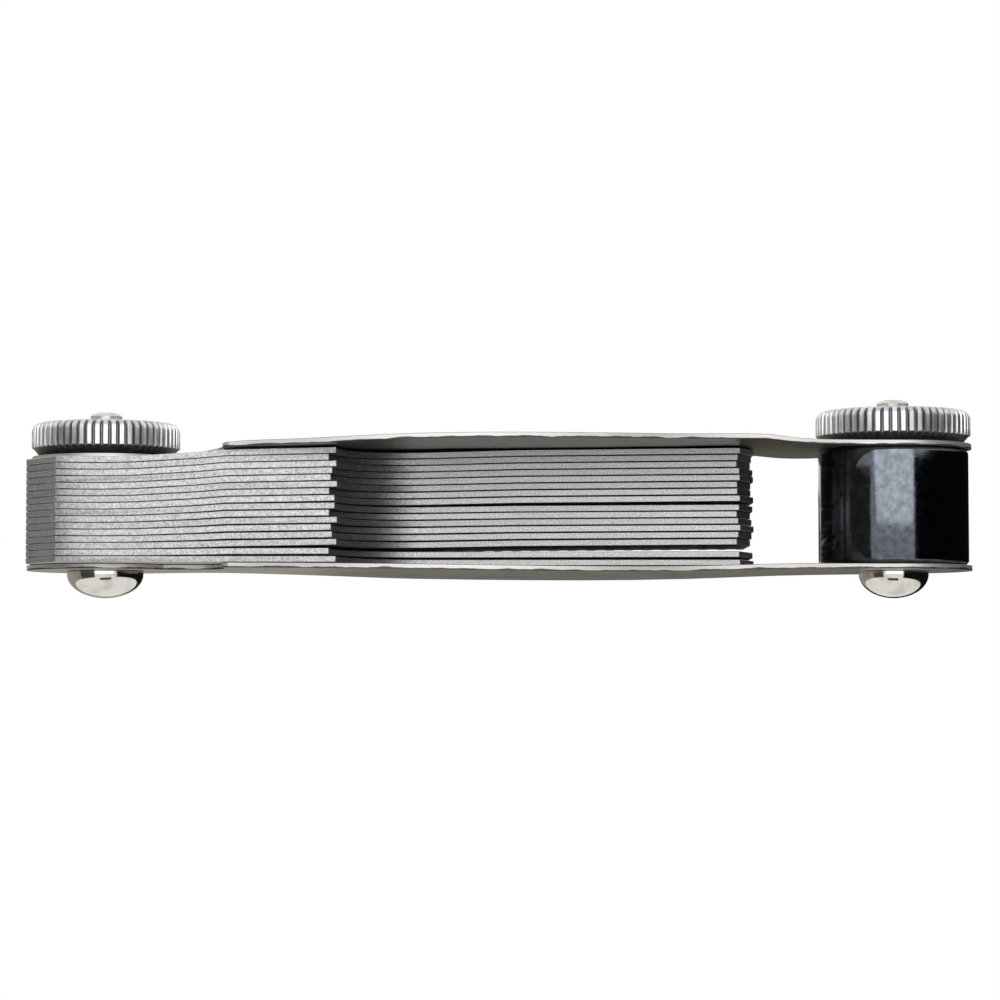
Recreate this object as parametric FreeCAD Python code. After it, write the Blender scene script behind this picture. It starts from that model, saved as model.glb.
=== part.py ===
"""Thread pitch gauge: sixteen toothed leaves on one pivot between two sprung covers.

Frame: +X runs from the pivot screw to the end screw, +Z up along both screws,
-Y is the side with the leaves' thumb edges. The origin is at the middle of the
length and width, level with the lowest point of the screw heads.
All sizes are in millimetres.
"""
import FreeCAD, Part
import math
import os
from FreeCAD import Vector

# Overall layout
SCREW_SPACING = 86.0
PIVOT_X = -SCREW_SPACING / 2
END_X = SCREW_SPACING / 2
WIDTH = 32.0
HEAD_HEIGHT = 2.95

# Leaves
LEAF_COUNT = 16
LEAF_THICKNESS = 0.64
LEAF_PITCH = 0.705
LEAF_GAP = 0.03
THREADS_PER_INCH = (2, 2.5, 3, 3.5, 4, 4.5, 5, 6, 7, 8, 9, 10, 11, 12, 14, 16)
INCH = 25.4
FLANK_ANGLE = 14.5
LEAF_BACK = 7.8
HEEL_DEPTH = 10.8
HEEL_CHAMFER = (3.8, 4.9)
HEEL_LENGTH = 25.4
HEEL_SPREAD = 0.45
STEP_RADIUS = 10.0
TIP_REACH = 70.9
TIP_SPREAD = 0.2
TIP_SLANT = (1.8, 4.5)
CREST_LINE = 14.3
SHOULDER_X = 27.0
TOOTHED_LENGTH = 34.0

# How the leaves spread away from the clamped pivot: radii where each leaf bends,
# and the lift of a leaf there. Rings of one radius nest at every angle.
# Each ring is made of flat sectors.
DISH_SIDES = 16
CLAMP_RADIUS = 11.0
BEND_RADIUS = 18.0
MID_RADIUS = 45.0
RIM_RADIUS = 76.0
BEND_LIFT = 0.72
BEND_FADE = 2.8
# The leaves lie in three packs: first leaf, last leaf, and their lift from bend to rim
PACKS = ((1, 8, 1.06, 0.86), (9, 14, 0.58, 0.72), (15, 16, 0.14, 0.06))
MID_SHARE = 0.69

# Covers
COVER_THICKNESS = 0.55
TOP_HEAD_RADIUS = 8.0
BOTTOM_HEAD_RADIUS = 8.5
NOSE_RADIUS = 8.5
NECK_FRONT = 5.0
NECK_FILLET = 3.0
WING_X = 13.7
WING_DEPTH = 12.0
WING_CORNER = 1.0
CREST_X = 39.5
STRAIGHT_EDGE = (34.0, 64.0)
SEAT_LENGTH = 7.7

# Screws, nuts and spacer
SHANK_RADIUS = 1.75
COVER_HOLE_RADIUS = 1.85
LEAF_BORE_RADIUS = 1.82
NUT_BORE_RADIUS = 1.78
SPACER_BORE_RADIUS = 1.85
SPACER_RADIUS = 8.15
SPACER_CHAMFER = 0.4
SPACER_HEIGHT = 12.65
PIVOT_HEAD_RADIUS = 4.15
END_HEAD_RADIUS = 3.78
HEAD_RIM = 0.35
DOME_BANDS = 5
STUB_LENGTH = 1.25
STUB_CHAMFER = 0.35
PIVOT_NUT_RADIUS = 8.05
END_NUT_RADIUS = 8.4
NUT_HEIGHT = 3.65
NUT_CHAMFER = 0.9
NUT_ROUNDING = 0.95
NUT_SEAT_GAP = 0.02
KNURL_TEETH = 58
KNURL_DEPTH = 0.32

# Levels worked out from the stack
BOTTOM_SEAT = HEAD_HEIGHT + COVER_THICKNESS
LOWEST_LEAF = BOTTOM_SEAT + LEAF_GAP
STACK_TOP = LOWEST_LEAF + (LEAF_COUNT - 1) * LEAF_PITCH + LEAF_THICKNESS
TOP_SEAT_PIVOT = STACK_TOP + LEAF_GAP
TOP_SEAT_END = BOTTOM_SEAT + SPACER_HEIGHT


def line(start, end):
    """Straight edge between two points of the XY plane."""
    return Part.LineSegment(Vector(*start, 0), Vector(*end, 0)).toShape()


def arc(start, middle, end):
    """Round edge through three points of the XY plane."""
    return Part.Arc(Vector(*start, 0), Vector(*middle, 0), Vector(*end, 0)).toShape()


def curve(points, start_direction, end_direction):
    """Smooth edge through points of the XY plane, leaving and arriving in set directions."""
    spline = Part.BSplineCurve()
    spline.interpolate(
        Points=[Vector(*point, 0) for point in points],
        InitialTangent=Vector(*start_direction, 0),
        FinalTangent=Vector(*end_direction, 0),
    )
    return spline.toShape()


def on_circle(radius, degrees, centre_x=0.0):
    """Point on a circle round a point of the X axis."""
    angle = math.radians(degrees)
    return (centre_x + radius * math.cos(angle), radius * math.sin(angle))


def prism(edges, bottom, top):
    """Solid between two levels inside a closed outline."""
    face = Part.Face(Part.Wire(Part.__sortEdges__(edges)))
    face.translate(Vector(0, 0, bottom))
    return face.extrude(Vector(0, 0, top - bottom))


def turned(points):
    """Solid of revolution about Z from (radius, level) points."""
    wire = Part.makePolygon([Vector(radius, 0, level) for radius, level in points + points[:1]])
    return Part.Face(wire).revolve(Vector(0, 0, 0), Vector(0, 0, 1), 360)


def cover_outline(head_radius):
    """Plan outline of a cover, measured from the pivot."""
    half = WIDTH / 2
    neck_start = (math.sqrt(head_radius ** 2 - NECK_FRONT ** 2), -NECK_FRONT)
    fillet_x = WING_X - NECK_FILLET
    fillet_y = -NECK_FRONT - NECK_FILLET
    slant = math.sqrt(0.5)
    fillet_start = (fillet_x, -NECK_FRONT)
    fillet_middle = (fillet_x + NECK_FILLET * slant, fillet_y + NECK_FILLET * slant)
    fillet_end = (WING_X, fillet_y)
    corner_start = (WING_X, -WING_DEPTH + WING_CORNER)
    corner_middle = (WING_X + WING_CORNER * (1 - slant), -WING_DEPTH + WING_CORNER * (1 - slant))
    corner_end = (WING_X + WING_CORNER, -WING_DEPTH)
    nose_front = on_circle(NOSE_RADIUS, -90, SCREW_SPACING)
    nose_far = on_circle(NOSE_RADIUS, 62, SCREW_SPACING)
    head_far = on_circle(head_radius, 66)
    front = [corner_end, (27.0, -14.9), (CREST_X, -half), (54.0, -13.8), (65.0, -10.6), (75.0, -9.4), nose_front]
    far_rise = [head_far, (12.0, 5.4), (19.0, 8.2), (27.0, 13.0), (STRAIGHT_EDGE[0], half)]
    far_fall = [(STRAIGHT_EDGE[1], half), (77.0, 12.9), nose_far]
    return [
        line(neck_start, fillet_start),
        arc(fillet_start, fillet_middle, fillet_end),
        line(fillet_end, corner_start),
        arc(corner_start, corner_middle, corner_end),
        curve(front, (1, -0.2), (1, 0)),
        arc(nose_front, on_circle(NOSE_RADIUS, -14, SCREW_SPACING), nose_far),
        curve(far_fall[::-1], (-math.sin(math.radians(62)), math.cos(math.radians(62))), (-1, 0)),
        line(far_fall[0], far_rise[-1]),
        curve(far_rise[::-1], (-1, 0), (-math.sin(math.radians(66)), math.cos(math.radians(66)))),
        arc(head_far, on_circle(head_radius, 200), neck_start),
    ]


def bent_sheet(levels, thickness):
    """Sheet between two flat seats, its lower side passing through (distance, level) points."""
    spline = Part.BSplineCurve()
    spline.interpolate(
        Points=[Vector(distance, -WIDTH, level) for distance, level in levels],
        InitialTangent=Vector(1, 0, 0),
        FinalTangent=Vector(1, 0, 0),
    )
    reach = NOSE_RADIUS + 1
    near = Vector(-reach, -WIDTH, levels[0][1])
    far = Vector(SCREW_SPACING + reach, -WIDTH, levels[-1][1])
    lower = [
        Part.LineSegment(near, spline.StartPoint).toShape(),
        spline.toShape(),
        Part.LineSegment(spline.EndPoint, far).toShape(),
    ]
    lift = Vector(0, 0, thickness)
    upper = [edge.translated(lift) for edge in lower]
    ends = [
        Part.LineSegment(near, near + lift).toShape(),
        Part.LineSegment(far, far + lift).toShape(),
    ]
    face = Part.Face(Part.Wire(Part.__sortEdges__(lower + upper + ends)))
    return face.extrude(Vector(0, 2 * WIDTH, 0))


def cover(head_radius, levels):
    """Sprung cover with a hole for each screw."""
    lowest = min(level for _, level in levels) - 1
    highest = max(level for _, level in levels) + 1 + COVER_THICKNESS
    plate = prism(cover_outline(head_radius), lowest, highest)
    plate = plate.common(bent_sheet(levels, COVER_THICKNESS))
    for distance in (0, SCREW_SPACING):
        drill = Part.makeCylinder(COVER_HOLE_RADIUS, highest - lowest, Vector(distance, 0, lowest))
        plate = plate.cut(drill)
    return plate


def top_cover():
    """Upper cover: lifted by the spreading leaves, then down to the spacer."""
    base = TOP_SEAT_PIVOT
    levels = [
        (SEAT_LENGTH, base),
        (13.5, base + 0.76),
        (20.0, base + 1.05),
        (32.0, base + 1.42),
        (45.0, base + 1.62),
        (66.0, base + 1.87),
        (72.0, base + 1.83),
        (SCREW_SPACING - SEAT_LENGTH, TOP_SEAT_END),
    ]
    return cover(TOP_HEAD_RADIUS, levels)


def bottom_cover():
    """Lower cover: a shallow downward bow, deepest under the leaf tips."""
    base = HEAD_HEIGHT
    levels = [
        (SEAT_LENGTH, base),
        (28.0, base - 0.22),
        (64.0, base - 0.34),
        (SCREW_SPACING - SEAT_LENGTH, base),
    ]
    return cover(BOTTOM_HEAD_RADIUS, levels)


def pack_lift(index):
    """Lift of a leaf from its bend to its rim, from the pack it lies in."""
    for first, last, lift_first, lift_last in PACKS:
        if first <= index <= last:
            share = (index - first) / (last - first)
            return lift_first + (lift_last - lift_first) * share
    raise ValueError(index)


def leaf_teeth(pitch, end_x):
    """Points of the toothed edge, from the tip back towards the pivot."""
    depth = pitch / 2
    flank = depth * math.tan(math.radians(FLANK_ANGLE))
    crest = pitch / 2 - flank
    count = int(TOOTHED_LENGTH / pitch)
    points = []
    x = end_x - crest
    for _ in range(count):
        points.append((x, CREST_LINE))
        points.append((x - flank, CREST_LINE - depth))
        points.append((x - flank - crest, CREST_LINE - depth))
        points.append((x - 2 * flank - crest, CREST_LINE))
        x -= pitch
    return points


def leaf_outline(index):
    """Plan outline of one leaf, measured from the pivot."""
    heel = HEEL_LENGTH + HEEL_SPREAD * math.sin(2.4 * index)
    tip = TIP_REACH + TIP_SPREAD * math.sin(1.7 * index)
    chamfer_x, chamfer_y = HEEL_CHAMFER
    slant_x, slant_y = TIP_SLANT
    step_centre = (heel + STEP_RADIUS, -STEP_RADIUS)
    slant = STEP_RADIUS * math.sqrt(0.5)
    step_start = (heel, -STEP_RADIUS)
    step_middle = (step_centre[0] - slant, step_centre[1] + slant)
    step_end = (step_centre[0], 0.0)
    shoulder = (SHOULDER_X, CREST_LINE)
    reach = math.hypot(*shoulder)
    tangent = math.degrees(math.atan2(CREST_LINE, SHOULDER_X) + math.acos(LEAF_BACK / reach))
    back_start = on_circle(LEAF_BACK, tangent)
    back_middle = on_circle(LEAF_BACK, (tangent + 180) / 2)
    straight = [
        (-LEAF_BACK, 0.0),
        (-LEAF_BACK, chamfer_y - HEEL_DEPTH),
        (chamfer_x - LEAF_BACK, -HEEL_DEPTH),
        (heel, -HEEL_DEPTH),
        step_start,
    ]
    finger = [step_end, (tip - slant_x, 0.0), (tip, slant_y), (tip, CREST_LINE)]
    finger += leaf_teeth(INCH / THREADS_PER_INCH[index - 1], tip)
    finger += [shoulder, back_start]
    edges = [line(a, b) for a, b in zip(straight, straight[1:])]
    edges.append(arc(step_start, step_middle, step_end))
    edges += [line(a, b) for a, b in zip(finger, finger[1:])]
    edges.append(arc(back_start, back_middle, straight[0]))
    return edges


def dish(levels):
    """Plate of one thickness whose lower side passes through (radius, level) rings."""
    lift = Vector(0, 0, LEAF_THICKNESS)
    rings = []
    for radius, level in levels:
        corners = [on_circle(radius, side * 360 / DISH_SIDES) for side in range(DISH_SIDES)]
        rings.append([Vector(*corner, level) for corner in corners])
    rings += [[corner + lift for corner in ring] for ring in rings[::-1]]
    faces = [Part.Face(Part.makePolygon(ring + ring[:1])) for ring in (rings[0], rings[-1])]
    for inner, outer in zip(rings, rings[1:]):
        for side in range(DISH_SIDES):
            after = (side + 1) % DISH_SIDES
            corners = [inner[side], inner[after], outer[after], outer[side], inner[side]]
            faces.append(Part.Face(Part.makePolygon(corners)))
    return Part.Solid(Part.Shell(faces))


def leaf(index):
    """One gauge leaf: flat where it is clamped, then lifting in rings towards its tip."""
    base = LOWEST_LEAF + (LEAF_COUNT - index) * LEAF_PITCH
    bend = BEND_LIFT * (1 - ((index - 1) / (LEAF_COUNT - 1)) ** BEND_FADE)
    lift = pack_lift(index)
    levels = [
        (CLAMP_RADIUS, base),
        (BEND_RADIUS, base + bend),
        (MID_RADIUS, base + bend + MID_SHARE * lift),
        (RIM_RADIUS, base + bend + lift),
    ]
    height = bend + lift + LEAF_THICKNESS
    blank = prism(leaf_outline(index), base - 1, base + height + 1)
    bore = Part.makeCylinder(LEAF_BORE_RADIUS, height, Vector(0, 0, base - LEAF_GAP))
    return blank.common(dish(levels)).cut(bore)


def dome(radius):
    """(radius, level) points of an oval screw head, from its pole up to its seat."""
    height = HEAD_HEIGHT - HEAD_RIM
    points = []
    for step in range(DOME_BANDS + 1):
        angle = math.pi / 2 * step / DOME_BANDS
        points.append((radius * math.sin(angle), height * (1 - math.cos(angle))))
    return points + [(radius, HEAD_HEIGHT)]


def screw(head_radius, seat_level):
    """Dome-headed screw whose end stands above its nut."""
    top = seat_level + COVER_THICKNESS + NUT_SEAT_GAP + NUT_HEIGHT + STUB_LENGTH
    shank = [
        (SHANK_RADIUS, HEAD_HEIGHT),
        (SHANK_RADIUS, top - STUB_CHAMFER),
        (SHANK_RADIUS - STUB_CHAMFER, top),
        (0, top),
    ]
    return turned(dome(head_radius) + shank)


def knurl(radius):
    """Band of straight V grooves round a nut."""
    points = []
    tooth = 360 / KNURL_TEETH
    for number in range(KNURL_TEETH):
        points.append(on_circle(radius, number * tooth))
        points.append(on_circle(radius - KNURL_DEPTH, (number + 0.5) * tooth))
    edges = [line(a, b) for a, b in zip(points, points[1:] + points[:1])]
    return prism(edges, NUT_CHAMFER, NUT_HEIGHT - NUT_ROUNDING)


def nut(radius):
    """Knurled nut with a bevel below, a rounded top edge and a clear bore."""
    root = radius - KNURL_DEPTH
    shoulder = NUT_HEIGHT - NUT_ROUNDING
    rounding = NUT_ROUNDING * math.sqrt(0.5)
    bevel = radius - NUT_CHAMFER
    core = turned([
        (0, 0),
        (bevel, 0),
        (root, NUT_CHAMFER),
        (root, shoulder),
        (bevel - KNURL_DEPTH + rounding, shoulder + rounding),
        (bevel - KNURL_DEPTH, NUT_HEIGHT),
        (0, NUT_HEIGHT),
    ])
    return core.fuse(knurl(radius)).cut(Part.makeCylinder(NUT_BORE_RADIUS, NUT_HEIGHT))


def spacer():
    """Sleeve on the end screw that holds the covers apart."""
    outer = SPACER_RADIUS
    rim = SPACER_RADIUS - SPACER_CHAMFER
    return turned([
        (SPACER_BORE_RADIUS, 0),
        (rim, 0),
        (outer, SPACER_CHAMFER),
        (outer, SPACER_HEIGHT - SPACER_CHAMFER),
        (rim, SPACER_HEIGHT),
        (SPACER_BORE_RADIUS, SPACER_HEIGHT),
    ])


def build():
    """Every piece in its place, by node name."""
    nodes = {}
    at_pivot = Vector(PIVOT_X, 0, 0)
    at_end = Vector(END_X, 0, 0)
    pivot_nut_level = TOP_SEAT_PIVOT + COVER_THICKNESS + NUT_SEAT_GAP
    end_nut_level = TOP_SEAT_END + COVER_THICKNESS + NUT_SEAT_GAP
    nodes["top_cover"] = top_cover().translated(at_pivot)
    nodes["bottom_cover"] = bottom_cover().translated(at_pivot)
    for index in range(1, LEAF_COUNT + 1):
        nodes["leaf_%02d" % index] = leaf(index).translated(at_pivot)
    nodes["pivot_screw"] = screw(PIVOT_HEAD_RADIUS, TOP_SEAT_PIVOT).translated(at_pivot)
    nodes["end_screw"] = screw(END_HEAD_RADIUS, TOP_SEAT_END).translated(at_end)
    nodes["spacer"] = spacer().translated(at_end + Vector(0, 0, BOTTOM_SEAT))
    nodes["pivot_nut"] = nut(PIVOT_NUT_RADIUS).translated(at_pivot + Vector(0, 0, pivot_nut_level))
    nodes["end_nut"] = nut(END_NUT_RADIUS).translated(at_end + Vector(0, 0, end_nut_level))
    return nodes


os.makedirs("parts", exist_ok=True)
for name, shape in build().items():
    solid, = shape.Solids
    solid.exportStep("parts/%s.step" % name)
    box = solid.optimalBoundingBox()
    sides = (box.XMin, box.XMax, box.YMin, box.YMax, box.ZMin, box.ZMax)
    print(name, "valid" if solid.isValid() else "BROKEN", "%.1f mm3" % solid.Volume,
          "x %.2f %.2f y %.2f %.2f z %.2f %.2f" % sides)
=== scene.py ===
"""Thread pitch gauge, dressed: leaf pack, sprung covers, screws, knurled nuts, sleeve and studio."""

import logging
import math
from collections.abc import Callable, Sequence
from dataclasses import dataclass
from enum import Enum
from typing import Any

import bmesh
import bpy
import numpy as np
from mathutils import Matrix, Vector


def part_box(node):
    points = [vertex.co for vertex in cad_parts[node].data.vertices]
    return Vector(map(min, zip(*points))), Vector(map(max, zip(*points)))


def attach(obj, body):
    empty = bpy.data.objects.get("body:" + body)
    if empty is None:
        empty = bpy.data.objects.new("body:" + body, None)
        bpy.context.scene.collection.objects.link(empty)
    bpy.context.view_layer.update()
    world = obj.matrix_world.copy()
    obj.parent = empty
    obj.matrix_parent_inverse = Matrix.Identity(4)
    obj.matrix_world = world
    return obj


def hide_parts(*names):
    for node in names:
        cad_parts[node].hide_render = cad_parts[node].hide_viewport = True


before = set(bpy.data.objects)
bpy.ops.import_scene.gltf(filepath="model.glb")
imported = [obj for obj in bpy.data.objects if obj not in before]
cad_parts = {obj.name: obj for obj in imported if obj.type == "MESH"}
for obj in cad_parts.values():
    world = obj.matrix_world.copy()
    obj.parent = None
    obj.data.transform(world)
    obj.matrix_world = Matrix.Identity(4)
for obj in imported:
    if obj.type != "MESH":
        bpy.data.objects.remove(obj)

LOG = logging.getLogger("thread_pitch_gauge")
MM = 0.001
PIVOT_AXIS = (-43.0, 0.0)
END_AXIS = (43.0, 0.0)
LEAF_COUNT = 16
MERGE_DISTANCE = 1e-6
SMOOTH_DEGREES = 32.0
BEVEL_DEGREES = 40.0
FLAT_DEGREES = 0.15

# How level a surface lies (see levelness) on a softened corner and on a flat face
CORNER_LEVEL = 0.707
FACE_STARTS = 0.75
FACE_FULL = 0.92


class Body(Enum):
    """Bodies of the frame that new pieces ride on."""

    FRAME = "frame"
    PIVOT_NUT = "pivot_nut"
    END_NUT = "end_nut"


class Slot(Enum):
    """Material slots of the record."""

    COVER = "cover_steel"
    LEAF = "leaf_steel"
    SCREW = "screw_plate"
    NUT = "nut_plate"
    SLEEVE = "spacer_black"


# ---------------------------------------------------------------- colour and nodes


def linear(colour: str) -> tuple[float, float, float, float]:
    """Turn an sRGB hex colour into the linear values that shaders use.

    Args:
        colour: Six hex digits after a hash.

    Returns:
        Red, green, blue and an alpha of one.
    """
    channels = [int(colour[i : i + 2], 16) / 255 for i in (1, 3, 5)]
    red, green, blue = (c / 12.92 if c <= 0.04045 else ((c + 0.055) / 1.055) ** 2.4 for c in channels)
    return red, green, blue, 1.0


def per_metre(width_mm: float) -> float:
    """Return the texture scale whose cells are about width_mm wide on Object coordinates."""
    return 1000.0 / width_mm


def add_node(
    tree: bpy.types.NodeTree, kind: str, settings: dict[str, Any] | None = None, **inputs: Any
) -> bpy.types.Node:
    """Add one node, set it up and feed its sockets.

    Args:
        tree: Node tree that gets the node.
        kind: Blender's name of the node type.
        settings: Properties of the node itself.
        **inputs: Socket values by socket name, blanks as underscores, or by
            number as in_0. A node gives its first output, a socket itself,
            and anything else is the socket's own value.

    Returns:
        The new node.
    """
    node = tree.nodes.new(kind)
    for name, value in (settings or {}).items():
        setattr(node, name, value)
    for name, value in inputs.items():
        socket = node.inputs[int(name[3:])] if name.startswith("in_") else node.inputs[name.replace("_", " ")]
        if isinstance(value, bpy.types.Node):
            value = value.outputs[0]
        if isinstance(value, bpy.types.NodeSocket):
            tree.links.new(value, socket)
        else:
            socket.default_value = value
    return node


def new_material(name: str) -> tuple[bpy.types.Material, bpy.types.NodeTree]:
    """Make an empty node material.

    Args:
        name: What the surface is made of.

    Returns:
        The material and its cleared node tree.
    """
    material = bpy.data.materials.new(name)
    material.use_nodes = True
    material.node_tree.nodes.clear()
    return material, material.node_tree


def levelness(tree: bpy.types.NodeTree) -> bpy.types.Node:
    """Measure how level the surface lies: one on a flat face, zero on an upright edge.

    Args:
        tree: Node tree that gets the nodes.

    Returns:
        The node that gives the measure.
    """
    normal = add_node(tree, "ShaderNodeTexCoord").outputs["Normal"]
    parts = add_node(tree, "ShaderNodeSeparateXYZ", Vector=normal)
    return add_node(tree, "ShaderNodeMath", {"operation": "ABSOLUTE"}, in_0=parts.outputs["Z"])


# ---------------------------------------------------------------- finishes


@dataclass(frozen=True)
class BlastedSpringSteel:
    """Stamped spring steel, grit blasted on its edges and rolled on its faces.

    The blasting leaves a sandy grain that glitters, the softened stamped corners get a painted highlight in
    patches, and each leaf has a slightly different grey. Real grit is about 0.05 mm, too fine to show, so it
    is drawn about three times as coarse.
    """

    edge: str = "#BFBFC0"
    edge_dark: str = "#858587"
    sheet: str = "#A9A8A4"
    # Painted highlight colour for the softened corners.
    corner_glint: str = "#DAD9D4"
    stain: str = "#7F786C"
    grit_mm: float = 0.16
    roll_line_mm: float = 0.12
    patch_mm: float = 3.5

    def material(self) -> bpy.types.Material:
        """Build the leaf steel with its blasted edges, rolled faces and a painted highlight on the corners.
        """
        material, tree = new_material("blasted spring steel")
        place = add_node(tree, "ShaderNodeTexCoord").outputs["Object"]
        grit = add_node(
            tree,
            "ShaderNodeTexNoise",
            Vector=place,
            Scale=per_metre(self.grit_mm),
            Detail=3.0,
            Roughness=0.7,
        )
        patch = add_node(tree, "ShaderNodeTexNoise", Vector=place, Scale=per_metre(self.patch_mm), Detail=3.0)
        along = add_node(tree, "ShaderNodeMapping", Vector=place, Scale=(0.02, 1.0, 1.0))
        lines = add_node(
            tree, "ShaderNodeTexNoise", Vector=along, Scale=per_metre(self.roll_line_mm), Detail=2.0
        )
        tone = add_node(tree, "ShaderNodeAttribute", {"attribute_name": "tone"}).outputs["Fac"]

        level = levelness(tree)
        on_face = add_node(tree, "ShaderNodeMapRange", in_0=level, in_1=FACE_STARTS, in_2=FACE_FULL)
        corner = add_node(
            tree,
            "ShaderNodeMath",
            {"operation": "COMPARE"},
            in_0=level,
            in_1=CORNER_LEVEL,
            in_2=0.22,
        )
        blasted = add_node(
            tree,
            "ShaderNodeMix",
            {"data_type": "RGBA"},
            in_0=add_node(tree, "ShaderNodeMapRange", in_0=grit, in_1=0.36, in_2=0.62),
            in_6=linear(self.edge_dark),
            in_7=linear(self.edge),
        ).outputs[2]
        rolled = add_node(
            tree,
            "ShaderNodeMix",
            {"data_type": "RGBA"},
            in_0=add_node(tree, "ShaderNodeMapRange", in_0=patch, in_1=0.5, in_2=0.78, in_4=0.6),
            in_6=linear(self.sheet),
            in_7=linear(self.stain),
        ).outputs[2]
        base = add_node(
            tree, "ShaderNodeMix", {"data_type": "RGBA"}, in_0=on_face, in_6=blasted, in_7=rolled
        ).outputs[2]
        # Painted highlight: the softened corners are lightened in patches, and worn below holds the steel
        # with that painted highlight.
        glint_mask = add_node(
            tree,
            "ShaderNodeMath",
            {"operation": "MULTIPLY"},
            in_0=corner,
            in_1=add_node(tree, "ShaderNodeMapRange", in_0=patch, in_1=0.4, in_2=0.65, in_4=0.5),
        )
        worn = add_node(
            tree, "ShaderNodeMix", {"data_type": "RGBA"}, in_0=glint_mask, in_6=base, in_7=linear(self.corner_glint)
        ).outputs[2]
        toned = add_node(
            tree,
            "ShaderNodeHueSaturation",
            Color=worn,
            Value=add_node(tree, "ShaderNodeMapRange", in_0=tone, in_3=0.9, in_4=1.08),
        )
        relief = add_node(
            tree,
            "ShaderNodeBump",
            Strength=0.55,
            Distance=0.00002,
            Height=add_node(tree, "ShaderNodeMix", in_0=on_face, in_2=grit, in_3=lines),
        )
        finish = add_node(
            tree,
            "ShaderNodeBsdfPrincipled",
            Base_Color=toned,
            Metallic=1.0,
            Roughness=add_node(tree, "ShaderNodeMapRange", in_0=patch, in_3=0.4, in_4=0.5),
            Normal=relief,
        )
        add_node(tree, "ShaderNodeOutputMaterial", Surface=finish)
        return material


@dataclass(frozen=True)
class GroundSheetSteel:
    """Bright ground steel sheet, blanked with a press tool.

    Its faces have a lengthwise grain with faint stains. A blanked edge has a bright burnished band, then a
    dull torn band with a wavy border, and its softened corners carry a painted shade. Real grinding lines are
    about 0.02 mm, too fine to show, so they are drawn about four times as coarse.
    """

    sheet: str = "#A39E92"
    stain: str = "#857D6E"
    burnish: str = "#CDCCC9"
    torn: str = "#55555C"
    # Painted shade colour for the softened corners.
    corner: str = "#3F3D55"
    grain_mm: float = 0.09
    patch_mm: float = 6.0
    wave_mm: float = 2.6

    def material(self) -> bpy.types.Material:
        """Build the sheet with grained faces and a two-band blanked edge."""
        material, tree = new_material("ground sheet steel")
        place = add_node(tree, "ShaderNodeTexCoord").outputs["Object"]
        along = add_node(tree, "ShaderNodeMapping", Vector=place, Scale=(0.012, 1.0, 1.0))
        grain = add_node(tree, "ShaderNodeTexNoise", Vector=along, Scale=per_metre(self.grain_mm), Detail=2.0)
        patch = add_node(
            tree,
            "ShaderNodeTexNoise",
            Vector=place,
            Scale=per_metre(self.patch_mm),
            Detail=4.0,
            Roughness=0.6,
        )
        wave = add_node(tree, "ShaderNodeTexNoise", Vector=place, Scale=per_metre(self.wave_mm), Detail=3.0)
        depth = add_node(tree, "ShaderNodeAttribute", {"attribute_name": "depth"}).outputs["Fac"]

        level = levelness(tree)
        on_face = add_node(tree, "ShaderNodeMapRange", in_0=level, in_1=FACE_STARTS, in_2=FACE_FULL)
        border = add_node(
            tree,
            "ShaderNodeMath",
            {"operation": "SUBTRACT"},
            in_0=depth,
            in_1=add_node(tree, "ShaderNodeMapRange", in_0=wave, in_1=0.3, in_2=0.7, in_3=0.05, in_4=0.42),
        )
        sheared = add_node(
            tree,
            "ShaderNodeMix",
            {"data_type": "RGBA"},
            in_0=add_node(tree, "ShaderNodeMapRange", in_0=border, in_1=-0.02, in_2=0.06),
            in_6=linear(self.torn),
            in_7=linear(self.burnish),
        ).outputs[2]
        faced = add_node(
            tree,
            "ShaderNodeMix",
            {"data_type": "RGBA"},
            in_0=add_node(tree, "ShaderNodeMapRange", in_0=patch, in_1=0.48, in_2=0.75, in_4=0.7),
            in_6=linear(self.sheet),
            in_7=linear(self.stain),
        ).outputs[2]
        base = add_node(
            tree, "ShaderNodeMix", {"data_type": "RGBA"}, in_0=on_face, in_6=sheared, in_7=faced
        ).outputs[2]
        # Painted shade: the 45-degree corner strips are darkened three quarters of the way towards the corner
        # colour.
        corner_shade_mask = add_node(
            tree, "ShaderNodeMath", {"operation": "COMPARE"}, in_0=level, in_1=CORNER_LEVEL, in_2=0.15
        )
        corner_shaded = add_node(
            tree,
            "ShaderNodeMix",
            {"data_type": "RGBA"},
            in_0=add_node(tree, "ShaderNodeMath", {"operation": "MULTIPLY"}, in_0=corner_shade_mask, in_1=0.75),
            in_6=base,
            in_7=linear(self.corner),
        ).outputs[2]
        rough_face = add_node(tree, "ShaderNodeMapRange", in_0=grain, in_3=0.24, in_4=0.42)
        rough_edge = add_node(tree, "ShaderNodeMapRange", in_0=grain, in_3=0.42, in_4=0.62)
        relief = add_node(tree, "ShaderNodeBump", Strength=0.3, Distance=0.00001, Height=grain)
        finish = add_node(
            tree,
            "ShaderNodeBsdfPrincipled",
            Base_Color=corner_shaded,
            Metallic=1.0,
            Roughness=add_node(tree, "ShaderNodeMix", in_0=on_face, in_2=rough_edge, in_3=rough_face),
            Normal=relief,
        )
        add_node(tree, "ShaderNodeOutputMaterial", Surface=finish)
        return material


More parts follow.
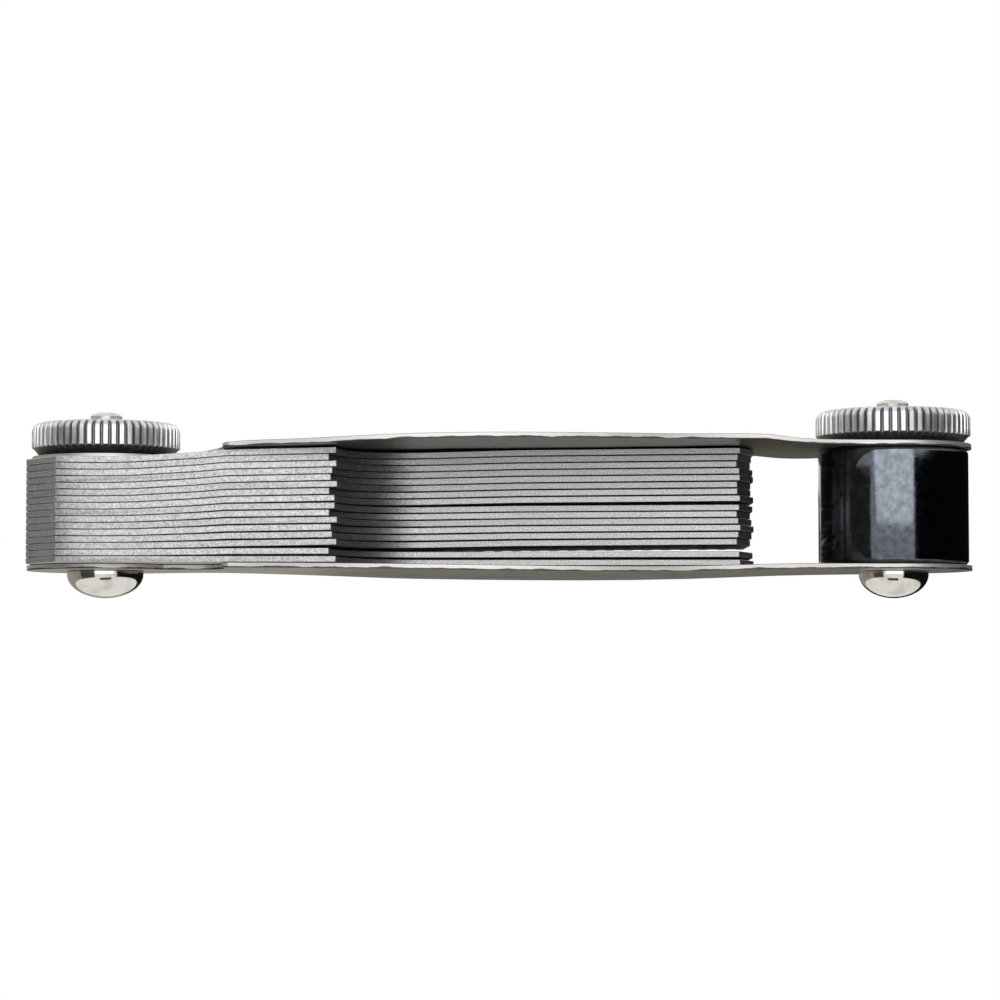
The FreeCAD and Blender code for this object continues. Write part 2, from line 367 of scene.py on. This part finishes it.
@dataclass(frozen=True)
class SatinNickelPlate:
    """Satin nickel plate on turned and knurled brass.

    The crests of the knurl are bright and uneven, and a painted shade darkens the grooves and the bevel below
    them.
    """

    plate: str = "#E2E2E3"
    dull: str = "#BCBCBE"
    # Painted shade colour for the knurl grooves and the bevel below them.
    painted_shade: str = "#38383C"
    streak_mm: float = 0.5
    pit_mm: float = 0.14

    def material(self) -> bpy.types.Material:
        """Build the nut plate with uneven crests and a painted shade in the grooves and on the bevel."""
        material, tree = new_material("satin nickel plate")
        place = add_node(tree, "ShaderNodeTexCoord").outputs["Object"]
        upright = add_node(tree, "ShaderNodeMapping", Vector=place, Scale=(1.0, 1.0, 0.12))
        streak = add_node(
            tree, "ShaderNodeTexNoise", Vector=upright, Scale=per_metre(self.streak_mm), Detail=2.0
        )
        pit = add_node(tree, "ShaderNodeTexNoise", Vector=place, Scale=per_metre(self.pit_mm), Detail=3.0)
        # The root attribute marks the groove bottoms and the bevel, where the plate gets its painted shade.
        root = add_node(tree, "ShaderNodeAttribute", {"attribute_name": "root"}).outputs["Fac"]
        plated = add_node(
            tree,
            "ShaderNodeMix",
            {"data_type": "RGBA"},
            in_0=add_node(tree, "ShaderNodeMapRange", in_0=streak, in_1=0.38, in_2=0.6),
            in_6=linear(self.dull),
            in_7=linear(self.plate),
        ).outputs[2]
        # Painted shade: the groove bottoms and the bevel are darkened most of the way towards the shade
        # colour.
        shaded_plate = add_node(
            tree,
            "ShaderNodeMix",
            {"data_type": "RGBA"},
            in_0=add_node(tree, "ShaderNodeMapRange", in_0=root, in_1=0.2, in_2=1.0, in_4=0.85),
            in_6=plated,
            in_7=linear(self.painted_shade),
        ).outputs[2]
        relief = add_node(tree, "ShaderNodeBump", Strength=0.35, Distance=0.00002, Height=pit)
        finish = add_node(
            tree,
            "ShaderNodeBsdfPrincipled",
            Base_Color=shaded_plate,
            Metallic=1.0,
            Roughness=add_node(tree, "ShaderNodeMapRange", in_0=pit, in_3=0.32, in_4=0.48),
            Normal=relief,
        )
        add_node(tree, "ShaderNodeOutputMaterial", Surface=finish)
        return material


@dataclass(frozen=True)
class BrightNickelPlate:
    """Bright nickel plate on polished screw heads: a mirror with fine hairlines."""

    plate: str = "#D6D3CC"
    tarnish: str = "#A59F90"
    tarnish_mm: float = 1.6
    hair_mm: float = 0.25

    def material(self) -> bpy.types.Material:
        """Build the mirror plate with a little tarnish and hairlines."""
        material, tree = new_material("bright nickel plate")
        place = add_node(tree, "ShaderNodeTexCoord").outputs["Object"]
        patch = add_node(
            tree, "ShaderNodeTexNoise", Vector=place, Scale=per_metre(self.tarnish_mm), Detail=4.0
        )
        hair = add_node(
            tree,
            "ShaderNodeTexNoise",
            Vector=place,
            Scale=per_metre(self.hair_mm),
            Detail=2.0,
            Distortion=1.5,
        )
        base = add_node(
            tree,
            "ShaderNodeMix",
            {"data_type": "RGBA"},
            in_0=add_node(tree, "ShaderNodeMapRange", in_0=patch, in_1=0.45, in_2=0.75, in_4=0.7),
            in_6=linear(self.plate),
            in_7=linear(self.tarnish),
        ).outputs[2]
        relief = add_node(tree, "ShaderNodeBump", Strength=0.12, Distance=0.00001, Height=hair)
        finish = add_node(
            tree,
            "ShaderNodeBsdfPrincipled",
            Base_Color=base,
            Metallic=1.0,
            Roughness=add_node(tree, "ShaderNodeMapRange", in_0=patch, in_3=0.05, in_4=0.16),
            Normal=relief,
        )
        add_node(tree, "ShaderNodeOutputMaterial", Surface=finish)
        return material


@dataclass(frozen=True)
class BlackedSteel:
    """Hot-blacked and oiled steel.

    It is glossy and black where it mirrors something dark, and a mottled
    blue-grey where it mirrors something bright.
    """

    black: str = "#54585E"
    worn: str = "#6E747C"
    cloud_mm: float = 0.8
    pore_mm: float = 0.22

    def material(self) -> bpy.types.Material:
        """Build the blacked steel with its mottled sheen."""
        material, tree = new_material("hot-blacked steel")
        place = add_node(tree, "ShaderNodeTexCoord").outputs["Object"]
        cloud = add_node(
            tree,
            "ShaderNodeTexNoise",
            Vector=place,
            Scale=per_metre(self.cloud_mm),
            Detail=4.0,
            Roughness=0.6,
        )
        pore = add_node(tree, "ShaderNodeTexNoise", Vector=place, Scale=per_metre(self.pore_mm), Detail=2.0)
        base = add_node(
            tree,
            "ShaderNodeMix",
            {"data_type": "RGBA"},
            in_0=add_node(tree, "ShaderNodeMapRange", in_0=cloud, in_1=0.35, in_2=0.68),
            in_6=linear(self.black),
            in_7=linear(self.worn),
        ).outputs[2]
        relief = add_node(tree, "ShaderNodeBump", Strength=0.25, Distance=0.00001, Height=pore)
        finish = add_node(
            tree,
            "ShaderNodeBsdfPrincipled",
            Base_Color=base,
            Metallic=1.0,
            Roughness=add_node(
                tree, "ShaderNodeMapRange", in_0=cloud, in_1=0.3, in_2=0.7, in_3=0.06, in_4=0.14
            ),
            Normal=relief,
        )
        add_node(tree, "ShaderNodeOutputMaterial", Surface=finish)
        return material


# ---------------------------------------------------------------- bench tools


def take(piece: bpy.types.Object) -> bpy.types.Object:
    """Make one object the only selected and the active one."""
    bpy.ops.object.select_all(action="DESELECT")
    piece.select_set(True)
    bpy.context.view_layer.objects.active = piece
    return piece


def pick(piece: bpy.types.Object, wanted: Callable[[Vector], bool]) -> None:
    """Select, in edit mode, the vertices whose place passes a test.

    Args:
        piece: Object in edit mode.
        wanted: Test of a vertex's place in millimetres.
    """
    bpy.ops.mesh.select_all(action="DESELECT")
    bpy.ops.mesh.select_mode(type="VERT")
    shape = bmesh.from_edit_mesh(piece.data)
    for vertex in shape.verts:
        vertex.select = wanted((piece.matrix_world @ vertex.co) / MM)
    shape.select_flush_mode()
    bmesh.update_edit_mesh(piece.data)


def settle(piece: bpy.types.Object) -> None:
    """Put an object's place into its mesh and smooth it by angle."""
    take(piece)
    bpy.ops.object.transform_apply(location=True, rotation=True, scale=True)
    bpy.ops.object.shade_smooth_by_angle(angle=math.radians(SMOOTH_DEGREES))


def soften(piece: bpy.types.Object, width_mm: float, segments: int = 1) -> None:
    """Bevel an object's sharp corners and keep the result.

    Args:
        piece: Object to bevel.
        width_mm: Width of the bevel.
        segments: Number of strips across it.
    """
    take(piece)
    bevel = piece.modifiers.new("softened corners", "BEVEL")
    bevel.width = width_mm * MM
    bevel.segments = segments
    bevel.limit_method = "ANGLE"
    bevel.angle_limit = math.radians(BEVEL_DEGREES)
    bevel.use_clamp_overlap = False
    bpy.ops.object.modifier_apply(modifier=bevel.name)


def rework(node: str, name: str, corner_mm: float) -> bpy.types.Object:
    """Copy a frame node, join its loose triangles and soften its corners.

    Args:
        node: Name of the frame's node.
        name: Name of the new piece.
        corner_mm: Width of the softened corners.

    Returns:
        The new piece.
    """
    piece = bpy.data.objects.new(name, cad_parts[node].data.copy())
    bpy.context.scene.collection.objects.link(piece)
    piece.data.materials.clear()
    take(piece)
    bpy.ops.mesh.customdata_custom_splitnormals_clear()
    bpy.ops.object.mode_set(mode="EDIT")
    bpy.ops.mesh.select_all(action="SELECT")
    bpy.ops.mesh.remove_doubles(threshold=MERGE_DISTANCE)
    bpy.ops.mesh.dissolve_limited(angle_limit=math.radians(FLAT_DEGREES))
    bpy.ops.object.mode_set(mode="OBJECT")
    soften(piece, corner_mm)
    settle(piece)
    return piece


def turn(
    name: str, axis: tuple[float, float], profile: Sequence[tuple[float, float]], sides: int
) -> bpy.types.Object:
    """Turn a piece about an upright axis, growing it ring by ring.

    Args:
        name: Name of the new piece.
        axis: Place of the axis in millimetres.
        profile: (radius, level) points in millimetres. A radius of zero at
            either end closes the piece there, and a last point equal to the
            first closes it round a bore.
        sides: Number of sides of each ring.

    Returns:
        The new piece, still with its place in its object.
    """
    rings = list(profile)
    pole = rings.pop(0) if rings[0][0] == 0 else None
    radius, level = rings[0]
    bpy.ops.object.select_all(action="DESELECT")
    bpy.ops.mesh.primitive_circle_add(
        vertices=sides, radius=radius * MM, location=(axis[0] * MM, axis[1] * MM, level * MM)
    )
    piece = bpy.context.active_object
    piece.name = piece.data.name = name
    bpy.ops.object.mode_set(mode="EDIT")
    bpy.ops.mesh.select_all(action="SELECT")
    if pole:
        rise = (pole[1] - level) * MM
        bpy.ops.mesh.extrude_edges_move(TRANSFORM_OT_translate={"value": (0, 0, rise)})
        bpy.ops.mesh.merge(type="CENTER")
        pick(piece, lambda place: math.hypot(place.x - axis[0], place.y - axis[1]) > radius * 0.5)
    for next_radius, next_level in rings[1:]:
        rise = (next_level - level) * MM
        bpy.ops.mesh.extrude_edges_move(TRANSFORM_OT_translate={"value": (0, 0, rise)})
        if next_radius == 0:
            bpy.ops.mesh.merge(type="CENTER")
            break
        scale = next_radius / radius
        bpy.ops.transform.resize(
            value=(scale, scale, 1.0), center_override=(axis[0] * MM, axis[1] * MM, next_level * MM)
        )
        radius, level = next_radius, next_level
    bpy.ops.mesh.select_all(action="SELECT")
    bpy.ops.mesh.remove_doubles(threshold=MERGE_DISTANCE)
    bpy.ops.mesh.normals_make_consistent(inside=False)
    bpy.ops.object.mode_set(mode="OBJECT")
    return piece


def quarter(radius: float, level: float, round_mm: float, steps: int) -> list[tuple[float, float]]:
    """Points of a rounded upper rim between a wall and an end face.

    Args:
        radius: Radius of the wall.
        level: Level of the end face.
        round_mm: Radius of the rounding.
        steps: Number of strips.

    Returns:
        (radius, level) points from the wall up to the end face.
    """
    angles = [math.pi / 2 * step / steps for step in range(steps + 1)]
    return [(radius - round_mm * (1 - math.cos(a)), level - round_mm * (1 - math.sin(a))) for a in angles]


# ---------------------------------------------------------------- sub-assemblies


@dataclass
class LeafPack:
    """The sixteen gauge leaves, with softened stamped corners and a grey of their own each."""

    steel: bpy.types.Material
    corner_mm: float = 0.045
    upper_tones: tuple[float, ...] = (0.7, 0.35, 0.9, 0.5, 0.75, 0.3, 0.6, 0.85)
    lower_tones: tuple[float, ...] = (0.4, 0.7, 0.25, 0.8, 0.55, 0.35, 0.75, 0.5)

    def build(self) -> list[bpy.types.Object]:
        """Build and dress every leaf.

        Returns:
            The leaves, from the top one down.
        """
        leaves = []
        tones = self.upper_tones + self.lower_tones
        for index in range(1, LEAF_COUNT + 1):
            node = f"leaf_{index:02d}"
            leaf = rework(node, f"{node}_blade", self.corner_mm)
            tone = leaf.data.attributes.new("tone", "FLOAT", "POINT")
            values = np.full(len(leaf.data.vertices), tones[index - 1], np.float32)
            tone.data.foreach_set("value", values)
            leaf.data.materials.append(self.steel)
            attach(leaf, node)
            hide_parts(node)
            leaves.append(leaf)
        return leaves


@dataclass
class Covers:
    """The two sprung covers, whose blanked edges carry their depth in the sheet."""

    steel: bpy.types.Material
    corner_mm: float = 0.05

    def build(self) -> list[bpy.types.Object]:
        """Build and dress both covers.

        Returns:
            The top cover and the bottom cover.
        """
        covers = []
        for node in ("top_cover", "bottom_cover"):
            cover = rework(node, f"{node}_sheet", self.corner_mm)
            self.mark_depth(cover)
            cover.data.materials.append(self.steel)
            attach(cover, Body.FRAME.value)
            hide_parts(node)
            covers.append(cover)
        return covers

    def mark_depth(self, cover: bpy.types.Object) -> None:
        """Store how high each vertex lies in the sheet, from 0 below to 1 above.

        Args:
            cover: Cover whose lower face rises and falls along X only.
        """
        mesh = cover.data
        place = np.array([v.co for v in mesh.vertices])
        below, above = set(), set()
        for face in mesh.polygons:
            if abs(face.normal.z) > 0.9:
                (above if face.normal.z > 0 else below).update(face.vertices)
        low, high = (np.array(sorted((place[i][0], place[i][2]) for i in side)) for side in (below, above))
        bottom = np.interp(place[:, 0], low[:, 0], low[:, 1])
        top = np.interp(place[:, 0], high[:, 0], high[:, 1])
        share = np.clip((place[:, 2] - bottom) / (top - bottom), 0, 1)
        depth = mesh.attributes.new("depth", "FLOAT", "POINT")
        depth.data.foreach_set("value", share.astype(np.float32))


@dataclass
class KnurledNut:
    """Round nut with a bevel below, a straight knurl and a rounded top edge."""

    node: str
    axis: tuple[float, float]
    radius: float
    plate: bpy.types.Material
    body: Body
    height: float = 3.65
    bevel: float = 0.9
    rounding: float = 0.95
    bore: float = 1.78
    teeth: int = 58
    depth: float = 0.3
    steps: int = 6
    ease: float = 0.05
    groove_start: float = 0.06
    mid_wall: float = 1.6
    countersink: tuple[float, float] = (0.35, 0.3)

    def build(self) -> bpy.types.Object:
        """Turn the blank, cut the knurl and dress it.

        Returns:
            The nut.
        """
        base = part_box(self.node)[0].z / MM
        top = base + self.height
        root = self.radius - self.depth
        wall = top - self.rounding
        rim = self.radius - self.bevel
        sink_width, sink_depth = self.countersink
        profile = [
            (self.bore, base),
            (rim - self.ease, base),
            (rim, base + 0.03),
            (root + self.ease, base + self.bevel - 0.08),
            (self.radius, base + self.bevel + self.groove_start),
            (self.radius, base + self.mid_wall),
            (self.radius, wall),
            *quarter(self.radius, top, self.rounding, 5)[1:],
            (self.bore + sink_width, top),
            (self.bore, top - sink_depth),
            (self.bore, base),
        ]
        nut = turn(f"{self.node}_knurled", self.axis, profile, self.teeth * self.steps)
        self.cut_knurl(nut, base, wall)
        settle(nut)
        # Mark where the nut plate gets its painted shade.
        self.mark_painted_shade(nut)
        nut.data.materials.append(self.plate)
        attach(nut, self.body.value)
        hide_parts(self.node)
        return nut

    def is_root(self, place: Vector) -> bool:
        """Tell whether a place, in millimetres, lies in line with the bottom of a groove."""
        turns = math.atan2(place.y - self.axis[1], place.x - self.axis[0]) / (2 * math.pi)
        return round(turns * self.teeth * self.steps) % self.steps in (0, 1)

    def cut_knurl(self, nut: bpy.types.Object, base: float, wall: float) -> None:
        """Press the grooves into the wall, running out over the rounded rim.

        Args:
            nut: Turned blank.
            base: Level of its underside.
            wall: Level where the rounding begins.
        """
        take(nut)
        bpy.ops.object.mode_set(mode="EDIT")
        centre = (self.axis[0] * MM, self.axis[1] * MM, base * MM)
        rim = self.radius - self.rounding

        def grooved(place: Vector) -> bool:
            reach = math.hypot(place.x - self.axis[0], place.y - self.axis[1])
            return place.z > base + self.bevel and reach > rim + 0.25 and self.is_root(place)

        pick(nut, grooved)
        scale = 1 - self.depth / self.radius
        bpy.ops.transform.resize(value=(scale, scale, 1.0), center_override=centre)
        bpy.ops.object.mode_set(mode="OBJECT")

    def mark_painted_shade(self, nut: bpy.types.Object) -> None:
        """Store one in the bottoms of the grooves and on the bevel, where the plate gets its painted shade,
        and zero elsewhere.

        Args:
            nut: Finished nut, with its place in its mesh.
        """
        mesh = nut.data
        values = np.zeros(len(mesh.vertices), np.float32)
        low = min(vertex.co.z for vertex in mesh.vertices) / MM
        for vertex in mesh.vertices:
            place = vertex.co / MM
            reach = math.hypot(place.x - self.axis[0], place.y - self.axis[1])
            in_groove = reach > self.radius - self.rounding + 0.1 and self.is_root(place)
            if in_groove or place.z < low + self.bevel:
                values[vertex.index] = 1.0
        mesh.attributes.new("root", "FLOAT", "POINT").data.foreach_set("value", values)


@dataclass
class DomeScrew:
    """Dome-headed screw: oval head below, threaded end above."""

    node: str
    axis: tuple[float, float]
    head: float
    plate: bpy.types.Material
    head_height: float = 2.95
    rim: float = 0.35
    shank: float = 1.75
    thread_pitch: float = 0.6
    thread_depth: float = 0.16
    thread_length: float = 2.4
    ease: float = 0.08
    dome_steps: int = 20
    sides: int = 72
    tip_length: float = 0.35
    tip: tuple[tuple[float, float], ...] = ((0.0, 0.42), (0.28, 0.14), (0.75, 0.02))

    def build(self) -> bpy.types.Object:
        """Turn and dress the screw.

        Returns:
            The screw.
        """
        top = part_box(self.node)[1].z / MM
        dome = self.head_height - self.rim
        head = [
            (self.head * math.sin(angle), dome * (1 - math.cos(angle)))
            for angle in (math.pi / 2 * step / self.dome_steps for step in range(self.dome_steps + 1))
        ]
        head += [(self.head, self.head_height - self.ease), (self.head - self.ease, self.head_height)]
        thread_start = top - self.thread_length
        thread = []
        turns = int((self.thread_length - self.tip_length) / self.thread_pitch)
        for number in range(turns):
            level = thread_start + number * self.thread_pitch
            thread += [(self.shank, level), (self.shank - self.thread_depth, level + self.thread_pitch * 0.5)]
        thread += [(self.shank - inset, top - drop) for inset, drop in self.tip]
        thread.append((0, top))
        profile = [*head, (self.shank, self.head_height), *thread]
        screw = turn(f"{self.node}_turned", self.axis, profile, self.sides)
        settle(screw)
        screw.data.materials.append(self.plate)
        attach(screw, Body.FRAME.value)
        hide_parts(self.node)
        return screw


@dataclass
class Sleeve:
    """Black sleeve round the end screw that holds the covers apart."""

    finish: bpy.types.Material
    outer: float = 8.15
    bore: float = 1.85
    chamfer: float = 0.4
    corner: tuple[float, float] = (0.06, 0.1)
    sides: int = 128

    def build(self) -> bpy.types.Object:
        """Turn and dress the sleeve.

        Returns:
            The sleeve.
        """
        low, high = (corner.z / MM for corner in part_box("spacer"))
        rim = self.outer - self.chamfer
        inset, reach = self.corner
        profile = [
            (self.bore, low),
            (rim, low),
            (self.outer - inset, low + self.chamfer - inset),
            (self.outer, low + self.chamfer + reach),
            (self.outer, high - self.chamfer - reach),
            (self.outer - inset, high - self.chamfer + inset),
            (rim, high),
            (self.bore, high),
            (self.bore, low),
        ]
        sleeve = turn("spacer_sleeve", END_AXIS, profile, self.sides)
        settle(sleeve)
        sleeve.data.materials.append(self.finish)
        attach(sleeve, Body.FRAME.value)
        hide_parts("spacer")
        return sleeve


# ---------------------------------------------------------------- studio


@dataclass(frozen=True)
class Card:
    """A card that stands beside the object, seen only in its reflections."""

    name: str
    colour: str
    start_degrees: float
    end_degrees: float
    low: float
    high: float
    distance: float = 0.25


@dataclass
class Studio:
    """White surroundings, pale floor, soft front lamp, reflection cards and camera."""

    camera_place: tuple[float, float, float] = (0.00005, -0.338, -0.009)
    camera_pitch: float = 3.34
    lens_mm: float = 111.6
    cards: tuple[Card, ...] = (
        Card("right_card", "#141414", 34.0, 165.0, -0.12, 0.10),
        Card("left_card", "#4E4B48", -75.0, -34.0, -0.12, 0.10),
        Card("left_far_card", "#A5A19B", -165.0, -75.0, -0.12, 0.10),
        Card("back_left_card", "#37342E", -195.0, -172.0, -0.12, 0.03),
        Card("back_right_card", "#A8A296", -172.0, -165.0, -0.12, 0.012),
        Card("front_low_card", "#4A4741", -22.0, 20.0, -0.27, -0.15),
    )
    card_strips: int = 24
    floor_radius: float = 1.5
    floor_colour: str = "#F6F6F5"
    surroundings: float = 0.75
    lamp_place: tuple[float, float, float] = (0.0, -0.34, 0.12)
    lamp_pitch: float = 71.0
    lamp_size: tuple[float, float] = (0.4, 0.3)
    lamp_power: float = 0.6

    def build(self) -> None:
        """Set up the view, the surroundings and the lights."""
        scene = bpy.context.scene
        scene.view_settings.view_transform = "Standard"
        scene.camera = self.make_camera()
        scene.world = self.make_world()
        self.make_floor()
        for card in self.cards:
            self.make_card(card)
        self.make_lamp()

    def make_camera(self) -> bpy.types.Object:
        """Make the camera, level with the underside of the gauge."""
        lens = bpy.data.cameras.new("camera")
        lens.lens = self.lens_mm
        lens.sensor_width = 36.0
        lens.clip_start = 0.01
        camera = bpy.data.objects.new("camera", lens)
        camera.location = self.camera_place
        camera.rotation_euler = (math.radians(90 + self.camera_pitch), 0.0, 0.0)
        bpy.context.scene.collection.objects.link(camera)
        return camera

    def make_world(self) -> bpy.types.World:
        """Make surroundings that are plain white behind and in the metal."""
        world = bpy.data.worlds.new("white surroundings")
        world.use_nodes = True
        # The metal is lit only along its reflections, so that the cards shade it.
        world.cycles.sampling_method = "NONE"
        tree = world.node_tree
        tree.nodes.clear()
        path = add_node(tree, "ShaderNodeLightPath")
        seen = add_node(
            tree,
            "ShaderNodeMath",
            {"operation": "MAXIMUM"},
            in_0=path.outputs["Is Camera Ray"],
            in_1=add_node(
                tree,
                "ShaderNodeMath",
                {"operation": "MAXIMUM"},
                in_0=path.outputs["Is Glossy Ray"],
                in_1=path.outputs["Is Transmission Ray"],
            ),
        )
        white = add_node(
            tree,
            "ShaderNodeBackground",
            Color=linear("#FFFFFF"),
            Strength=add_node(tree, "ShaderNodeMapRange", in_0=seen, in_3=self.surroundings, in_4=1.0),
        )
        add_node(tree, "ShaderNodeOutputWorld", Surface=white)
        return world

    def make_floor(self) -> None:
        """Lay the floor, which is open to the eye from below."""
        bpy.ops.object.select_all(action="DESELECT")
        bpy.ops.mesh.primitive_circle_add(
            vertices=96, radius=self.floor_radius, fill_type="NGON", location=(0.0, 0.0, 0.0)
        )
        floor = bpy.context.active_object
        floor.name = "floor"
        material, tree = new_material("pale floor")
        matt = add_node(tree, "ShaderNodeBsdfDiffuse", Color=linear(self.floor_colour))
        open_back = add_node(
            tree,
            "ShaderNodeMixShader",
            in_0=add_node(tree, "ShaderNodeNewGeometry").outputs["Backfacing"],
            in_1=matt,
            in_2=add_node(tree, "ShaderNodeBsdfTransparent"),
        )
        add_node(tree, "ShaderNodeOutputMaterial", Surface=open_back)
        floor.data.materials.append(material)
        floor.visible_glossy = False

    def make_card(self, card: Card) -> None:
        """Stand one curved card round the object.

        Args:
            card: Its colour, its reach round the object, and its height.
        """
        bpy.ops.object.select_all(action="DESELECT")
        bpy.ops.mesh.primitive_plane_add(size=1.0, location=(0.0, 0.0, 0.0))
        wall = bpy.context.active_object
        wall.name = card.name
        shape = bmesh.new()
        rows = []
        for degrees in np.linspace(card.start_degrees, card.end_degrees, self.card_strips + 1):
            angle = math.radians(degrees)
            x, y = card.distance * math.sin(angle), -card.distance * math.cos(angle)
            rows.append((shape.verts.new((x, y, card.low)), shape.verts.new((x, y, card.high))))
        for (a, b), (c, d) in zip(rows, rows[1:]):
            shape.faces.new((a, c, d, b))
        shape.to_mesh(wall.data)
        shape.free()
        material, tree = new_material(f"{card.name} paper")
        add_node(
            tree,
            "ShaderNodeOutputMaterial",
            Surface=add_node(tree, "ShaderNodeEmission", Color=linear(card.colour), Strength=1.0),
        )
        wall.data.materials.append(material)
        for ray in ("camera", "diffuse", "transmission", "volume_scatter", "shadow"):
            setattr(wall, f"visible_{ray}", False)

    def make_lamp(self) -> None:
        """Hang the soft lamp above the camera."""
        light = bpy.data.lights.new("front_lamp", "AREA")
        light.shape = "RECTANGLE"
        light.size, light.size_y = self.lamp_size
        light.energy = self.lamp_power
        lamp = bpy.data.objects.new("front_lamp", light)
        lamp.location = self.lamp_place
        lamp.rotation_euler = (math.radians(self.lamp_pitch), 0.0, 0.0)
        bpy.context.scene.collection.objects.link(lamp)


# ---------------------------------------------------------------- the whole gauge


def report(pieces: Sequence[bpy.types.Object]) -> None:
    """Log each finished piece.

    Args:
        pieces: New pieces of one sub-assembly.
    """
    for piece in pieces:
        LOG.info("%s: %d faces", piece.name, len(piece.data.polygons))


def main() -> None:
    logging.basicConfig(level=logging.INFO, format="%(name)s: %(message)s")
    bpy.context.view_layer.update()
    leaf_steel = BlastedSpringSteel().material()
    nut_plate = SatinNickelPlate().material()
    screw_plate = BrightNickelPlate().material()
    report(LeafPack(leaf_steel).build())
    report(Covers(GroundSheetSteel().material()).build())
    report([KnurledNut("pivot_nut", PIVOT_AXIS, 8.05, nut_plate, Body.PIVOT_NUT).build()])
    report([KnurledNut("end_nut", END_AXIS, 8.4, nut_plate, Body.END_NUT).build()])
    report([DomeScrew("pivot_screw", PIVOT_AXIS, 4.15, screw_plate).build()])
    report([DomeScrew("end_screw", END_AXIS, 3.78, screw_plate).build()])
    report([Sleeve(BlackedSteel().material()).build()])
    Studio().build()


if __name__ == "__main__":
    main()
